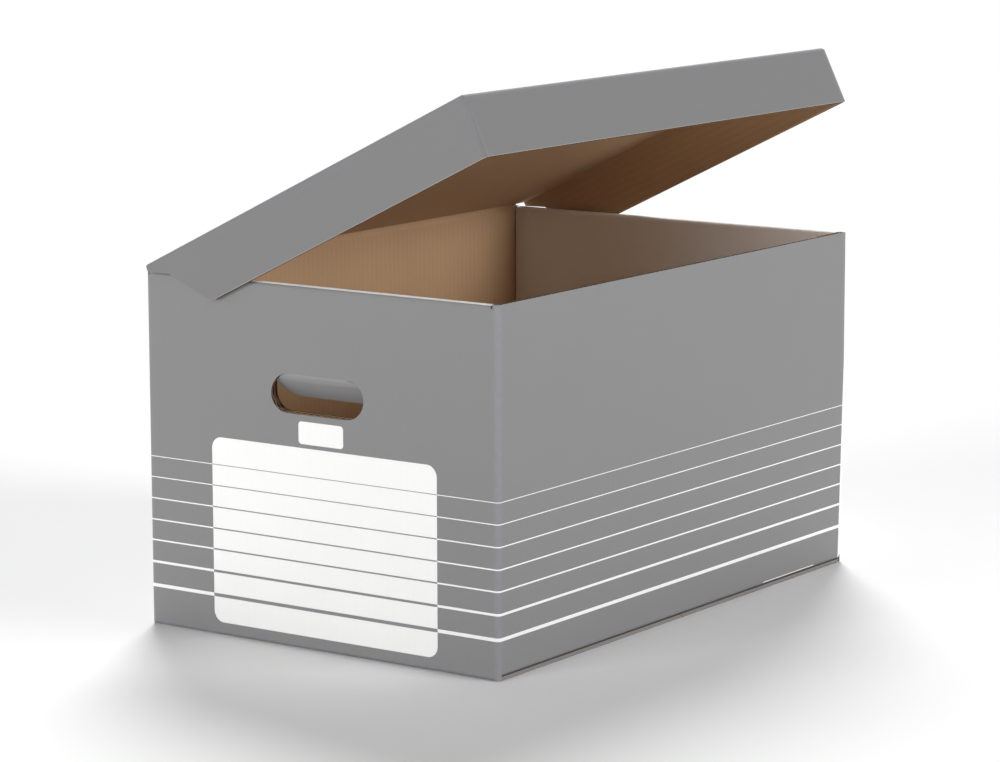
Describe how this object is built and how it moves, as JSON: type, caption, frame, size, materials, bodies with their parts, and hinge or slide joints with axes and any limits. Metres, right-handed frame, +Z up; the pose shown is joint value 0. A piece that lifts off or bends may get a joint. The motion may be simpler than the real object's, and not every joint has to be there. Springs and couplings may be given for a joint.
{
  "type": "archive storage box",
  "caption": "Corrugated board storage box for lever-arch files, with double handle walls, push-in hand holes and a hinged lid with skirts, shown ajar.",
  "frame": {"origin": "centre of the base, on the surface the box stands on", "axes": "+Z up, +Y along the lid's hinge away from the label wall, +X from the hinge wall to the front wall"},
  "size_m": [0.345, 0.532, 0.4465],
  "materials": {
    "body_board": "matt grey print on white liner, brown kraft inside",
    "lid_board": "matt grey print on white liner, brown kraft inside",
    "flap_board": "matt grey print on white liner, brown kraft inside"
  },
  "bodies": {
    "body": {"box_body": "body_board"},
    "lid": {"box_lid": "lid_board"},
    "label_end_flap": {"hand_flap_label_end": "flap_board"},
    "far_end_flap": {"hand_flap_far_end": "flap_board"}
  },
  "joints": [
    {"name": "lid_hinge", "type": "hinge", "parent": "body", "child": "lid", "pos_m": [-0.1719, 0, 0.2927], "axis": [0, -1, 0], "range_deg": [-26, 189]},
    {"name": "label_end_flap_hinge", "type": "hinge", "parent": "body", "child": "label_end_flap", "pos_m": [0, -0.2576, 0.2177], "axis": [1, 0, 0], "range_deg": [-50, 80]},
    {"name": "far_end_flap_hinge", "type": "hinge", "parent": "body", "child": "far_end_flap", "pos_m": [0, 0.2576, 0.2177], "axis": [-1, 0, 0], "range_deg": [0, 130]}
  ]
}
